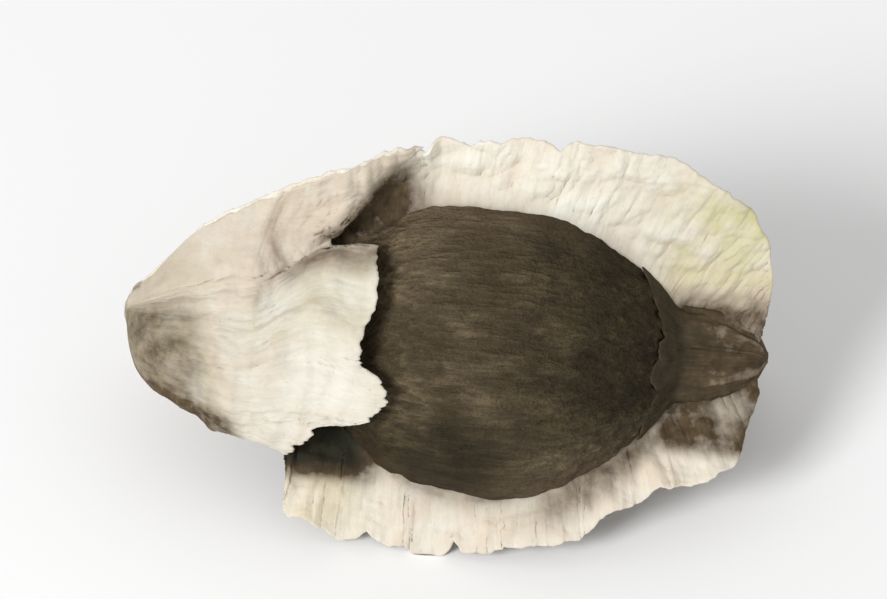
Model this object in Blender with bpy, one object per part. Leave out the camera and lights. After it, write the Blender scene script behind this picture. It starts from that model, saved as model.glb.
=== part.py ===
"""Moringa seed, lying on its belly as it comes to rest on a table.

Two bodies: the dark three-angled seed coat, and the pale papery wings that frame it. The three wings
stand on the coat's ridges and run together into a cup at each end. Metres, +Z up, the seed's long axis
along X, and the origin on the table, on the flat spot under the middle of the coat.
"""

import math
import random

import bmesh
import bpy
from mathutils import Vector

# The coat. Its middle lies over the origin, at the height of the seed's long axis.
FACE_RADIUS = 0.0048
RIDGES = 3
RIDGE_SHARE = 0.11
KEEL_SHARE = 0.04
KEEL_SHARPNESS = 6
COAT_LEFT = 0.0062
COAT_RIGHT = 0.0063
END_SHARPNESS_LEFT = 0.95
END_SHARPNESS_RIGHT = 1.10
BELLY_FLAT_DEPTH = 0.00020
AXIS_HEIGHT = FACE_RADIUS - BELLY_FLAT_DEPTH

# The wings. Angles run round X from +Y towards +Z, in degrees.
WING_ANGLES = {"top": 83.0, "front": 203.0, "rear": 323.0}
WING_THICKNESS = 0.0006
COAT_GAP = 0.0003

# Outer edges as (along X, out from the axis), left to right. A smooth curve runs through each list.
# The left share of the front wing is torn off short, where the flap was.
TOP_EDGE = [
    (-0.0122, 0.0008), (-0.0114, 0.0017), (-0.0102, 0.0034), (-0.0079, 0.0053), (-0.0052, 0.0070),
    (-0.0030, 0.0077), (0.0000, 0.0079), (0.0030, 0.0080), (0.0056, 0.0076), (0.0074, 0.0068),
    (0.0086, 0.0052), (0.0090, 0.0032), (0.0087, 0.0010),
]
FRONT_EDGE_FOLDED = [
    (-0.0121, 0.0010), (-0.0112, 0.0024), (-0.0098, 0.0032), (-0.0082, 0.0040), (-0.0065, 0.0046),
]
FRONT_EDGE_STANDING = [
    (-0.0063, 0.0067), (-0.0040, 0.0070), (-0.0012, 0.0072), (0.0010, 0.0071), (0.0030, 0.0066),
    (0.0046, 0.0058), (0.0062, 0.0049), (0.0080, 0.0041), (0.0088, 0.0014),
]
REAR_EDGE = [
    (-0.0122, 0.0009), (-0.0112, 0.0025), (-0.0092, 0.0043), (-0.0062, 0.0061), (-0.0028, 0.0074),
    (0.0010, 0.0079), (0.0046, 0.0072), (0.0072, 0.0055), (0.0086, 0.0032), (0.0087, 0.0010),
]
FRONT_FOLDED_SHARE = 0.27
ROOT_LEFT = -0.0121
ROOT_RIGHT = 0.0086
ROOT_PAST_AXIS = 0.0002

# How far each wing's free edge leans round X, at its left and its right, and its waves. The top wing has
# a fold across it, left of which it leans over the flap. The front wing curls down to the table.
LEAN = {"top": (0.0004, -0.0005), "front": (0.0024, 0.0024), "rear": (0.0002, 0.0002)}
LEAN_FROM = 0.6
FOLD_LEFT = -0.0038
FOLD_RIGHT = -0.0018
WAVE_DEPTH = 0.00030
WAVES_ALONG = {"top": 2.6, "front": 2.1, "rear": 3.1}
WAVE_PHASE = {"top": 3.5, "front": 2.2, "rear": 4.0}
TEAR_DEPTH = 0.00035
TEAR_RARITY = 3
TEAR_SEED = 11

# The cups: (along X, out from the axis) where the three wings run together over the coat's ends.
LEFT_CUP = [
    (-0.0123, 0.0005), (-0.0098, 0.0008), (-0.0078, 0.0013),
    (-0.0064, 0.0019), (-0.0056, 0.0026), (-0.0051, 0.0021),
]
RIGHT_CUP = [
    (0.0089, 0.0005), (0.0081, 0.0009), (0.0072, 0.0013),
    (0.0065, 0.0017), (0.0059, 0.0023), (0.0055, 0.0018),
]
CUP_WEB_SHARE = 0.35

# The flap: the torn left part of the front wing, folded up over the coat's end like a hood. It is lofted
# round the axis through its low side, its middle and its high side.
FLAP_START_ANGLE = 203.0
FLAP_JOINED_ANGLE = 87.0
FLAP_FREE_ANGLE = 103.0
FLAP_JOINED_TO = -0.0075
FLAP_FREE_FROM = -0.0050
FLAP_LOW_SIDE = [
    (-0.0122, 0.0006), (-0.0116, 0.0022), (-0.0100, 0.0032), (-0.0082, 0.0041), (-0.0040, 0.0052),
]
FLAP_MIDDLE = [
    (-0.0122, 0.0006), (-0.0117, 0.0020), (-0.0100, 0.0031), (-0.0076, 0.0040), (-0.0030, 0.0051),
]
FLAP_HIGH_SIDE = [
    (-0.0122, 0.0006), (-0.0115, 0.0014), (-0.0101, 0.0030), (-0.0084, 0.0042), (-0.0066, 0.0043),
    (-0.0050, 0.0046), (-0.0034, 0.0056),
]
# Where the flap's torn edge lies along X, in equal steps from its low side to its high side.
FLAP_TORN_EDGE = [
    -0.0064, -0.0060, -0.0051, -0.0030, -0.0030, -0.0038, -0.0038, -0.0036, -0.0036, -0.0037,
]

# Mesh fineness.
COAT_RINGS = 22
COAT_SPOKES = 42
WING_STEPS_ALONG = 52
WING_LEVELS = [0.0, 0.30, 0.48, 0.62, 0.75, 0.88, 1.0]
CUP_STEPS_ALONG = 7
CUP_SPOKES = 24
FLAP_STEPS_ROUND = 18
FLAP_STEPS_ALONG = 12
FLAP_CROWDING = 1.6
HALVINGS = 40

FLOOR_BLOCK = 0.05

COAT_COLOUR = (0.075, 0.057, 0.036, 1.0)
COAT_ROUGHNESS = 0.65
WING_COLOUR = (0.72, 0.66, 0.53, 1.0)
WING_ROUGHNESS = 0.8


def clear_scene():
    for obj in list(bpy.data.objects):
        bpy.data.objects.remove(obj, do_unlink=True)


def material(name, colour, roughness):
    made = bpy.data.materials.new(name)
    made.use_nodes = True
    shader = made.node_tree.nodes["Principled BSDF"]
    shader.inputs["Base Color"].default_value = colour
    shader.inputs["Roughness"].default_value = roughness
    shader.inputs["Metallic"].default_value = 0.0
    made.diffuse_color = colour
    return made


def link(name, mesh, finish=None):
    obj = bpy.data.objects.new(name, mesh)
    bpy.context.scene.collection.objects.link(obj)
    if finish:
        obj.data.materials.append(finish)
    return obj


def around_axis(x, radius, angle):
    """A point at this distance from the seed's long axis, angle in radians."""
    return Vector((x, radius * math.cos(angle), AXIS_HEIGHT + radius * math.sin(angle)))


def curve_through(points, share):
    """A Catmull-Rom curve through the points, at a share of its length from 0 to 1."""
    lengths = [0.0]
    for a, b in zip(points, points[1:]):
        lengths.append(lengths[-1] + math.dist(a, b))
    target = share * lengths[-1]
    span = max(i for i in range(len(points) - 1) if lengths[i] <= target or i == 0)
    part = (target - lengths[span]) / (lengths[span + 1] - lengths[span])
    before = points[max(span - 1, 0)]
    start, end = points[span], points[span + 1]
    after = points[min(span + 2, len(points) - 1)]
    return tuple(
        0.5 * (
            2 * start[k]
            + (end[k] - before[k]) * part
            + (2 * before[k] - 5 * start[k] + 4 * end[k] - after[k]) * part**2
            + (3 * start[k] - before[k] - 3 * end[k] + after[k]) * part**3
        )
        for k in range(2)
    )


def radius_at(points, x):
    """The curve's height over x, for a list of points that runs one way along X."""
    low, high = 0.0, 1.0
    rising = points[-1][0] > points[0][0]
    for _ in range(HALVINGS):
        middle = (low + high) / 2
        if (curve_through(points, middle)[0] < x) == rising:
            low = middle
        else:
            high = middle
    return curve_through(points, (low + high) / 2)[1]


def ridge_nearness(angle):
    """1 on the three ridges, where the wings stand, and 0 in the middle of the faces."""
    return (1 + math.cos(RIDGES * (angle - math.radians(WING_ANGLES["top"])))) / 2


def three_angled(angle):
    """How much further out than the middle of a face the coat lies at this angle."""
    nearness = ridge_nearness(angle)
    return 1 + RIDGE_SHARE * nearness + KEEL_SHARE * nearness**KEEL_SHARPNESS


def coat_point(polar, angle, swell=0.0):
    """The coat's surface, swelled all round. Polar runs from 0 at the right tip to pi at the left one."""
    rightness = (1 + math.cos(polar)) / 2
    half_length = COAT_LEFT + (COAT_RIGHT - COAT_LEFT) * rightness
    sharpness = END_SHARPNESS_LEFT + (END_SHARPNESS_RIGHT - END_SHARPNESS_LEFT) * rightness
    x = (half_length + swell) * math.cos(polar)
    radius = (FACE_RADIUS + swell) * max(math.sin(polar), 0.0) ** sharpness * three_angled(angle)
    return around_axis(x, radius, angle)


def grid_faces(build, rows, wrap):
    """Joins neighbouring rows of vertices with triangles that are split the same way everywhere."""
    for row, following in zip(rows, rows[1:]):
        count = len(row)
        for i in range(count if wrap else count - 1):
            j = (i + 1) % count
            build.faces.new((row[i], row[j], following[j]))
            build.faces.new((row[i], following[j], following[i]))


def finish_mesh(build, name):
    bmesh.ops.recalc_face_normals(build, faces=build.faces)
    mesh = bpy.data.meshes.new(name)
    build.to_mesh(mesh)
    build.free()
    mesh.shade_smooth()
    return mesh


def coat_mesh(name, swell=0.0):
    build = bmesh.new()
    rings = []
    for ring in range(1, COAT_RINGS):
        polar = math.pi * ring / COAT_RINGS
        rings.append([
            build.verts.new(coat_point(polar, 2 * math.pi * spoke / COAT_SPOKES, swell))
            for spoke in range(COAT_SPOKES)
        ])
    grid_faces(build, rings, wrap=True)
    for ring, polar in ((rings[0], 0.0), (rings[-1], math.pi)):
        tip = build.verts.new(coat_point(polar, 0.0, swell))
        for i, vertex in enumerate(ring):
            build.faces.new((tip, vertex, ring[(i + 1) % COAT_SPOKES]))
    return finish_mesh(build, name)


def sheet_object(name, rows):
    """An open sheet of points made WING_THICKNESS thick."""
    build = bmesh.new()
    grid_faces(build, [[build.verts.new(p) for p in row] for row in rows], wrap=False)
    obj = link(name, finish_mesh(build, name))
    solid = obj.modifiers.new("thickness", "SOLIDIFY")
    solid.thickness = WING_THICKNESS
    solid.offset = 0.0
    return obj


def edge_point(wing, share):
    if wing == "top":
        return curve_through(TOP_EDGE, share)
    if wing == "rear":
        return curve_through(REAR_EDGE, share)
    if share < FRONT_FOLDED_SHARE:
        return curve_through(FRONT_EDGE_FOLDED, share / FRONT_FOLDED_SHARE)
    return curve_through(FRONT_EDGE_STANDING, (share - FRONT_FOLDED_SHARE) / (1 - FRONT_FOLDED_SHARE))


def smooth_step(low, high, value):
    part = min(max((value - low) / (high - low), 0.0), 1.0)
    return part * part * (3 - 2 * part)


def wing_object(wing, tears):
    """One wing, from the axis out to its torn free edge. The part inside the coat is cut away later."""
    angle = math.radians(WING_ANGLES[wing])
    rows = []
    for step in range(WING_STEPS_ALONG + 1):
        share = step / WING_STEPS_ALONG
        edge_x, edge_radius = edge_point(wing, share)
        edge_radius -= tears.random() ** TEAR_RARITY * TEAR_DEPTH * math.sin(math.pi * share)
        root_x = ROOT_LEFT + (ROOT_RIGHT - ROOT_LEFT) * share
        lean_left, lean_right = LEAN[wing]
        lean = lean_left + (lean_right - lean_left) * smooth_step(FOLD_LEFT, FOLD_RIGHT, edge_x)
        wave = WAVE_DEPTH * math.sin(2 * math.pi * WAVES_ALONG[wing] * share + WAVE_PHASE[wing])
        row = []
        for level in WING_LEVELS:
            x = root_x + (edge_x - root_x) * level
            radius = -ROOT_PAST_AXIS + (edge_radius + ROOT_PAST_AXIS) * level
            reach = max(radius / FACE_RADIUS - LEAN_FROM, 0.0)
            aside = (lean * reach**2 + wave * reach) * math.sin(math.pi * share)
            point = around_axis(x, radius, angle)
            row.append(point + aside * Vector((0, -math.sin(angle), math.cos(angle))))
        rows.append(row)
    return sheet_object(f"wing_{wing}", rows)


def cup_object(name, profile):
    """A spindle that widens from the wings' tip to a rim on the coat, with a web into each wing."""
    build = bmesh.new()
    rings = []
    for step in range(CUP_STEPS_ALONG + 1):
        x, radius = curve_through(profile, step / CUP_STEPS_ALONG)
        rings.append([
            build.verts.new(around_axis(x, radius * (1 + CUP_WEB_SHARE * ridge_nearness(a)), a))
            for a in (2 * math.pi * spoke / CUP_SPOKES for spoke in range(CUP_SPOKES))
        ])
    grid_faces(build, rings, wrap=True)
    build.faces.new(rings[0])
    build.faces.new(rings[-1])
    return link(name, finish_mesh(build, name))


def flap_radius(x, share):
    """The flap's distance from the axis over x, at a share of the way from its low to its high side."""
    low, middle, high = (radius_at(side, x) for side in (FLAP_LOW_SIDE, FLAP_MIDDLE, FLAP_HIGH_SIDE))
    return (
        low * (1 - share) * (1 - 2 * share)
        + middle * 4 * share * (1 - share)
        + high * share * (2 * share - 1)
    )


def flap_angle(x, share):
    """The flap's angle round the axis. Its high side meets the top wing, and comes free near the tear."""
    freed = smooth_step(FLAP_JOINED_TO, FLAP_FREE_FROM, x)
    high = FLAP_JOINED_ANGLE + (FLAP_FREE_ANGLE - FLAP_JOINED_ANGLE) * freed
    return math.radians(FLAP_START_ANGLE + (high - FLAP_START_ANGLE) * share)


def flap_end(share):
    """Where the torn edge lies along X, at a share of the way from the low side to the high side."""
    place = share * (len(FLAP_TORN_EDGE) - 1)
    before = min(int(place), len(FLAP_TORN_EDGE) - 2)
    return FLAP_TORN_EDGE[before] + (FLAP_TORN_EDGE[before + 1] - FLAP_TORN_EDGE[before]) * (place - before)


def flap_object():
    """The folded-up part of the front wing: a hood round the coat's left end, torn at its right."""
    left = FLAP_MIDDLE[0][0]
    rows = []
    for step in range(FLAP_STEPS_ROUND + 1):
        share = step / FLAP_STEPS_ROUND
        row = []
        for along in range(FLAP_STEPS_ALONG + 1):
            x = left + (flap_end(share) - left) * (along / FLAP_STEPS_ALONG) ** FLAP_CROWDING
            row.append(around_axis(x, flap_radius(x, share), flap_angle(x, share)))
        rows.append(row)
    return sheet_object("flap", rows)


def apply_modifier(obj, modifier):
    bpy.context.view_layer.update()
    graph = bpy.context.evaluated_depsgraph_get()
    made = bpy.data.meshes.new_from_object(obj.evaluated_get(graph))
    obj.modifiers.remove(modifier)
    obj.data = made


def boolean(obj, operation, other):
    """Applies a Boolean with an object, or with a collection's objects, which are then removed."""
    cut = obj.modifiers.new(operation.lower(), "BOOLEAN")
    cut.operation = operation
    cut.solver = "EXACT"
    if isinstance(other, bpy.types.Collection):
        cut.operand_type = "COLLECTION"
        cut.collection = other
        used = list(other.objects)
    else:
        cut.object = other
        used = [other]
    apply_modifier(obj, cut)
    for piece in used:
        bpy.data.objects.remove(piece, do_unlink=True)


def floor_block():
    """What lies under the table's surface, to cut the resting spots flat."""
    build = bmesh.new()
    bmesh.ops.create_cube(build, size=FLOOR_BLOCK)
    bmesh.ops.translate(build, verts=build.verts, vec=(0, 0, -FLOOR_BLOCK / 2))
    return link("floor_block", finish_mesh(build, "floor_block"))


def main():
    clear_scene()
    tears = random.Random(TEAR_SEED)

    coat = link("seed_coat", coat_mesh("seed_coat"), material("coat", COAT_COLOUR, COAT_ROUGHNESS))
    boolean(coat, "DIFFERENCE", floor_block())

    joined = bpy.data.collections.new("joined")
    bpy.context.scene.collection.children.link(joined)
    pieces = [wing_object(wing, tears) for wing in WING_ANGLES]
    pieces += [cup_object("right_cup", RIGHT_CUP), flap_object()]
    for piece in pieces:
        for modifier in list(piece.modifiers):
            apply_modifier(piece, modifier)
        bpy.context.scene.collection.objects.unlink(piece)
        joined.objects.link(piece)
    wings = cup_object("wings", LEFT_CUP)
    boolean(wings, "UNION", joined)
    bpy.data.collections.remove(joined)
    boolean(wings, "DIFFERENCE", link("coat_space", coat_mesh("coat_space", COAT_GAP)))
    boolean(wings, "DIFFERENCE", floor_block())
    wings.data.materials.clear()
    wings.data.materials.append(material("wing", WING_COLOUR, WING_ROUGHNESS))


main()
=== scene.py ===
"""Looks of the moringa seed: its dark fibrous coat and torn papery wings, a pale floor, light and a camera.

Metres, +Z up, the seed's long axis along X. Each form repeats the construction's curves, and adds to them
what is too fine for it: creases, frayed edges, fibres and pits. Angles run round X, from +Y towards +Z.
"""

import itertools
import math

import bpy
import numpy as np
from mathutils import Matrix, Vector


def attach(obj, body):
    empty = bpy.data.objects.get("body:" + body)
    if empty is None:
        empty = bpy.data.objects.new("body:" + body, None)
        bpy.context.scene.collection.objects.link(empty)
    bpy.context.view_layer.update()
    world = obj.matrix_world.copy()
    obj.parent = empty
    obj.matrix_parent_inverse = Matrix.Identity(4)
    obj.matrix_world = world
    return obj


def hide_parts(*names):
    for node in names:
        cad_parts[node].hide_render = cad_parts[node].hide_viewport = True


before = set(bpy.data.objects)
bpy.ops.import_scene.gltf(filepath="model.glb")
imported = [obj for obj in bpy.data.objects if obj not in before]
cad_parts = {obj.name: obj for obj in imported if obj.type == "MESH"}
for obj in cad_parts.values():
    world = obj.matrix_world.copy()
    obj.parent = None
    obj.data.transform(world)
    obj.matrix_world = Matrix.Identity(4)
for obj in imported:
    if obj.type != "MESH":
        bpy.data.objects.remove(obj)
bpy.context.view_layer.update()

# The coat, as the construction has it.
FACE_RADIUS = 0.0048
RIDGES = 3
RIDGE_SHARE = 0.11
KEEL_SHARE = 0.04
KEEL_SHARPNESS = 6
COAT_LEFT = 0.0062
COAT_RIGHT = 0.0063
END_SHARPNESS_LEFT = 0.95
END_SHARPNESS_RIGHT = 1.10
BELLY_FLAT_DEPTH = 0.00020
AXIS_HEIGHT = FACE_RADIUS - BELLY_FLAT_DEPTH

# The wings, as the construction has them: (along X, out from the axis) along each outer edge.
WING_ANGLES = {"top": 83.0, "front": 203.0, "rear": 323.0}
TOP_EDGE = [
    (-0.0122, 0.0008), (-0.0114, 0.0017), (-0.0102, 0.0034), (-0.0079, 0.0053), (-0.0052, 0.0070),
    (-0.0030, 0.0077), (0.0000, 0.0079), (0.0030, 0.0080), (0.0056, 0.0076), (0.0074, 0.0068),
    (0.0086, 0.0052), (0.0090, 0.0032), (0.0087, 0.0010),
]
FRONT_EDGE_FOLDED = [
    (-0.0121, 0.0010), (-0.0112, 0.0024), (-0.0098, 0.0032), (-0.0082, 0.0040), (-0.0065, 0.0046),
]
FRONT_EDGE_STANDING = [
    (-0.0063, 0.0067), (-0.0040, 0.0070), (-0.0012, 0.0072), (0.0010, 0.0071), (0.0030, 0.0066),
    (0.0046, 0.0058), (0.0062, 0.0049), (0.0080, 0.0041), (0.0088, 0.0014),
]
REAR_EDGE = [
    (-0.0122, 0.0009), (-0.0112, 0.0025), (-0.0092, 0.0043), (-0.0062, 0.0061), (-0.0028, 0.0074),
    (0.0010, 0.0079), (0.0046, 0.0072), (0.0072, 0.0055), (0.0086, 0.0032), (0.0087, 0.0010),
]
FRONT_FOLDED_SHARE = 0.27
FRONT_STANDING_SHARE = 0.31
ROOT_LEFT = -0.0121
ROOT_RIGHT = 0.0086
LEAN = {"top": (0.0004, -0.0005), "front": (0.0024, 0.0024), "rear": (0.0002, 0.0002)}
LEAN_FROM = 0.6
WAVE_DEPTH = 0.00030
WAVES_ALONG = {"top": 2.6, "front": 2.1, "rear": 3.1}
WAVE_PHASE = {"top": 3.5, "front": 2.2, "rear": 4.0}

# The cups, where the wings run together: thin skins that end on the coat, slimmer than the construction's.
LEFT_CUP = [
    (-0.0124, 0.00002), (-0.0121, 0.0006), (-0.0114, 0.0009), (-0.0098, 0.0010), (-0.0078, 0.0012),
    (-0.0064, 0.0012), (-0.0054, 0.0007),
]
RIGHT_CUP = [
    (0.0090, 0.00002), (0.0087, 0.0005), (0.0084, 0.0007), (0.0076, 0.0010), (0.0068, 0.0012),
    (0.0061, 0.0012), (0.0055, 0.0007),
]
CUP_WEB_SHARE = 0.55

# The flap, lofted through its low side, its middle and its high side. Its high side lies lower than the
# construction's, because here a pleat carries it on up the top wing's face.
FLAP_START_ANGLE = 203.0
FLAP_LOW_SIDE = [
    (-0.0122, 0.0006), (-0.0116, 0.0022), (-0.0100, 0.0032), (-0.0082, 0.0041), (-0.0040, 0.0052),
]
FLAP_MIDDLE = [
    (-0.0122, 0.0006), (-0.0117, 0.0020), (-0.0100, 0.0031), (-0.0076, 0.0040), (-0.0030, 0.0051),
]
FLAP_HIGH_SIDE = [
    (-0.0122, 0.0006), (-0.0115, 0.0014), (-0.0101, 0.0027), (-0.0084, 0.0034), (-0.0066, 0.0036),
    (-0.0050, 0.0044), (-0.0034, 0.0056),
]
FLAP_TORN_EDGE = [
    -0.0064, -0.0060, -0.0051, -0.0030, -0.0030, -0.0038, -0.0038, -0.0036, -0.0036, -0.0037,
]
FLAP_CROWDING = 1.6

# The fold across the top wing. It slants from the edge down to the tear between the wing and the flap, and
# what lies left of it stands forward.
FOLD_AT_EDGE = -0.0021
FOLD_EDGE_RADIUS = 0.0080
FOLD_SLOPE = 1.10
FOLD_HALF_WIDTHS = (0.00030, 0.00190)
FOLD_STEP = 0.00060
FOLD_STEP_FADES = (0.0081, 0.0060)

# The flap's upper side: how far round it reaches, and the short tear that parts its right corner from the
# top wing. Left of the tear a soft pleat carries the flap on into the wing's face, with a straight ramp at
# its left.
FLAP_PLEAT_FROM = -0.0084
FLAP_CORNER = -0.0040
FLAP_ANGLE_AT_LEFT = 118.0
FLAP_ANGLE_AT_TEAR = 95.0
FLAP_ANGLE_AT_CORNER = 99.0
NOTCH_TIP = -0.0054
NOTCH_FROM_SHARE = 0.975
FOLD_SEARCH_STEPS = 25
COLUMN_SEARCH_STEPS = 8
PLEAT_SHARE = 0.55
PLEAT_MARGIN = 0.00020
PLEAT_BORDER = 0.20
PLEAT_LIFT = 0.00010
PLEAT_BURIED = 0.00005
PLEAT_SMOOTHING = 150
PLEAT_SMOOTHED = (-0.0056, -0.0072)
PLEAT_SMOOTHED_SHARES = (0.54, 0.69)
RAMP_FROM_SHARE = 0.74
RAMP_FADES = (-0.0070, -0.0086)
FLAP_GIRTH = 0.0085

# Fineness of the meshes.
COAT_RINGS = 222
COAT_SPOKES = 440
WING_COLUMNS = 520
WING_ROWS = 66
EDGE_CROWDING = 1.4
FLAP_COLUMNS = 190
FLAP_ROWS = 190
PLEAT_ROWS = 70
CUP_ROWS = 80
CUP_COLUMNS = 260
CURVE_SAMPLES = 400
LEVEL_SAMPLES = 300
SHORTEST = 1e-12

# Paper thickness, and how it is rounded off at a torn rim and filled out where it grows from the coat.
PAPER_THICKNESS = 0.00013
ROOT_THICKNESS = 0.00050
ROOT_FILLET = 0.00045
ROOT_DEPTH = 0.00025
RIM = 0.00010
TABLE_CLEARANCE = 0.00001

# Noise, and the seed of each piece's own.
NOISE_TABLE = 256
NOISE_SEED = 23
NOISE_SHIFT = 37.7
NOISE_GAIN = 1.6
CREASE_MEAN = 0.3
SEEDS = {
    "coat": 1, "top": 3, "front": 4, "rear": 5, "flap": 6, "wing_cup_left": 8, "wing_cup_right": 9,
}

# Camera and light.
CAMERA_AZIMUTH = 6.0
CAMERA_ELEVATION = 46.0
CAMERA_AIM = (-0.00175, 0.0, 0.0062)
CAMERA_DISTANCE = 0.162
CAMERA_LENS = 200.0
SENSOR_WIDTH = 36.0
CLIP_START = 0.01
CLIP_END = 20.0
LIGHTS = {
    "key": {"direction": (-0.65, -0.90, 0.80), "distance": 0.35, "size": 0.12, "strength": 2.30},
    "fill": {"direction": (0.8, -0.3, 0.6), "distance": 0.40, "size": 0.30, "strength": 0.10},
}
WORLD_COLOUR = (1.0, 1.0, 1.0, 1.0)
WORLD_STRENGTH = 0.56
FLOOR_SIZE = 4.0
FLOOR_COLOUR = (0.97, 0.97, 0.97, 1.0)
FLOOR_ROUGHNESS = 0.9
FLOOR_SPECULAR = 0.1

# Relief of the paper: how far it stands out, then its cells' sizes along the edge and out from the root.
CREASE_DRIFT = (0.0005, 0.0030, 0.0030)
BROAD_CREASE = (0.00034, 0.0030, 0.0021)
PUCKER = (0.00016, 0.00085, 0.0034)
LONG_FOLD = (0.00014, 0.0060, 0.0010)
FINE_CREASE = (0.00006, 0.00050, 0.00055)
FIBRE_RELIEF = (0.000010, 0.00014, 0.0011)
CREASE_SCALE = 0.00030
ROOTED_CREASE = 0.25
LOOSE_FROM = 0.0008

# How torn edges run: depths, and the sizes of their cells along the edge.
FRAY_DEPTH = 0.00028
FRAY_CELL = 0.0024
FRAY_MEAN = 0.25
TOOTH_DEPTH = 0.00013
TOOTH_CELL = 0.00060
TEARS = 5
TEAR_DEPTHS = (0.0002, 0.0005)
TEAR_HALF_WIDTHS = (0.00018, 0.00080)
TEAR_TAPER = 1.4
EDGE_WANDER = {"top": 0.00013, "front": 0.00032, "rear": 0.00013}
WANDER_CELL = 0.0010
EDGE_CURL = 0.00032
CURL_CELL = 0.0028
CURL_WIDTH = 0.0014

# The flap's own tears, points and folds, and how its torn edge lifts off the coat.
FLAP_TEARS = 1
FLAP_POINTS = 0.00048
FLAP_POINT_CELL = 0.00045
FLAP_POINTS_TO_SHARE = 0.55
FLAP_CREASE_SHARE = 0.8
FLAP_FOLDS = 0.00016
FLAP_FOLDS_ROUND = 7.0
FLAP_FOLD_LENGTH = 0.0070
FLAP_SMOOTH_TIP = 0.0020
FLAP_LIFT = 0.00030
FLAP_LIFT_MEAN = 0.5
FLAP_LIFT_CELL = 0.0020
FLAP_LIFT_WIDTH = 0.0016
FLAP_LIFT_SHARES = (0.25, 0.45)

# The cups' skin and rims. A wander or a row of teeth has its height, then how close its bends stand.
CUP_CREASE = 0.00016
CUP_CREASE_ROUND = 2.4
CUP_CREASE_LENGTH = 0.0030
CUP_CREASE_RADIUS = 0.0012
CUP_RIM_WANDER = (0.00040, 1.4)
CUP_RIM_TEETH = (0.00012, 7.0)
CUP_ALONG_WINGS = 0.00060
CUP_CLEARANCE = 0.00007
CUP_RIM_CLEARANCE = 0.00004
CUP_SETTLES = 0.0006
CUP_CROWDING = 1.2
CUP_ROUNDING = 5.0
CUP_SMOOTHING = 6
CUP_THINNESS = 0.6

# Relief of the coat: how far it stands out, then its cells' sizes along X, Y and Z.
COAT_LUMPS = (0.00012, (0.0030, 0.0030, 0.0030))
COAT_WRINKLES = (0.00012, (0.0034, 0.00085, 0.00085))
COAT_FIBRES = (0.000060, (0.0020, 0.00026, 0.00026))
COAT_GRAIN = (0.000014, (0.00045, 0.00045, 0.00045))
COAT_PITS = (0.00007, (0.00060, 0.00060, 0.00060))
COAT_PITS_FROM = 0.25

# Colours.
PAPER_WHITE = (0.79, 0.77, 0.685, 1.0)
PAPER_WARM = (0.69, 0.60, 0.49, 1.0)
PAPER_GREEN = (0.62, 0.60, 0.36, 1.0)
PAPER_BROWN = (0.145, 0.101, 0.056, 1.0)
PAPER_UMBER = (0.062, 0.042, 0.022, 1.0)
PAPER_SHADE = (0.020, 0.019, 0.010, 1.0)
PAPER_FIBRE = (0.72, 0.62, 0.46, 1.0)
COAT_DARK = (0.040, 0.028, 0.0125, 1.0)
COAT_LIGHT = (0.350, 0.270, 0.162, 1.0)
COAT_FIBRE = (0.085, 0.062, 0.031, 1.0)
COAT_RIDGE = (0.15, 0.105, 0.065, 1.0)
COAT_SCUFF = (0.20, 0.165, 0.115, 1.0)
# Painted shade: the coat's right and low side are multiplied towards this colour.
COAT_PAINTED_SHADE = (0.31, 0.29, 0.19, 1.0)

# Patches of colour. Each has its full strength, and the measures that it fades over, with where it is gone
# and where it is full. "out" is the distance from the axis, "above" the height over the coat, "aside" the
# distance from the seed's middle along X, "share" the way round the flap and "height" that over the axis.
# The coat's patches are painted shade, the one under the flap is painted shadow, and those at the flap's
# left, on its low edge and in its pleat are stain with painted shade.
PATCHES = {
    "top end stain": (0.95, [("out", 0.0033, 0.0014), ("x", 0.0045, 0.0062)]),
    "top right stain": (0.09, [("x", 0.0020, 0.0055)]),
    "top left warmth": (0.30, [("x", -0.0095, -0.0115)]),
    "top end warmth": (0.50, [("out", 0.0042, 0.0026), ("x", 0.0045, 0.0062)]),
    "top right warmth": (0.18, [("x", 0.0025, 0.0060)]),
    "top green": (0.95, [("x", 0.0040, 0.0072), ("out", 0.0078, 0.0058), ("out", 0.0020, 0.0034)]),
    "front end stain": (1.10, [("x", 0.0044, 0.0060), ("out", 0.0039, 0.0031)]),
    "front root stain": (0.82, [("above", 0.0016, 0.0003), ("x", 0.0004, 0.0032)]),
    "front left stain": (0.50, [("x", -0.0085, -0.0115)]),
    # Painted shadow, near black, on the front wing under the flap.
    "front painted shadow under flap": (2.20, [("out", 0.0056, 0.0045), ("x", -0.0026, -0.0048)]),
    "front green": (0.35, [("x", -0.0020, -0.0060)]),
    "rear end stains": (0.70, [("out", 0.0030, 0.0012), ("aside", 0.0060, 0.0080)]),
    "rear left warmth": (0.25, [("x", -0.0040, -0.0090)]),
    "rear green": (0.50, [("x", 0.0010, 0.0060)]),
    "flap white": (1.00, [("x", -0.0100, -0.0075), ("share", 1.00, 0.80)]),
    "flap brightest": (1.00, [("x", -0.0075, -0.0045), ("share", 0.70, 0.50)]),
    "flap green": (0.30, [("x", -0.0090, -0.0070), ("share", 0.55, 0.70), ("share", 0.98, 0.85)]),
    # Stain with painted shade at the flap's left, on its low edge where the hood curves under, and in its
    # pleat.
    "flap left stain and shade": (0.50, [("x", -0.0080, -0.0112), ("share", 0.75, 0.35)]),
    "flap low edge shade": (1.10, [("share", 0.36, 0.06), ("x", -0.0074, -0.0088)]),
    "flap pleat stain and shade": (0.70, [("x", -0.0076, -0.0060)]),
    # Painted shade on the coat: darker to the right and on the low side, less so low at the right.
    "coat low side painted shade": (1.05, [("height", 0.0024, -0.0010), ("x", 0.0030, -0.0005)]),
    "coat right side painted shade": (1.00, [("x", -0.0018, 0.0044)]),
    "coat right foot": (0.70, [("height", 0.0008, -0.0012)]),
}
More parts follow.
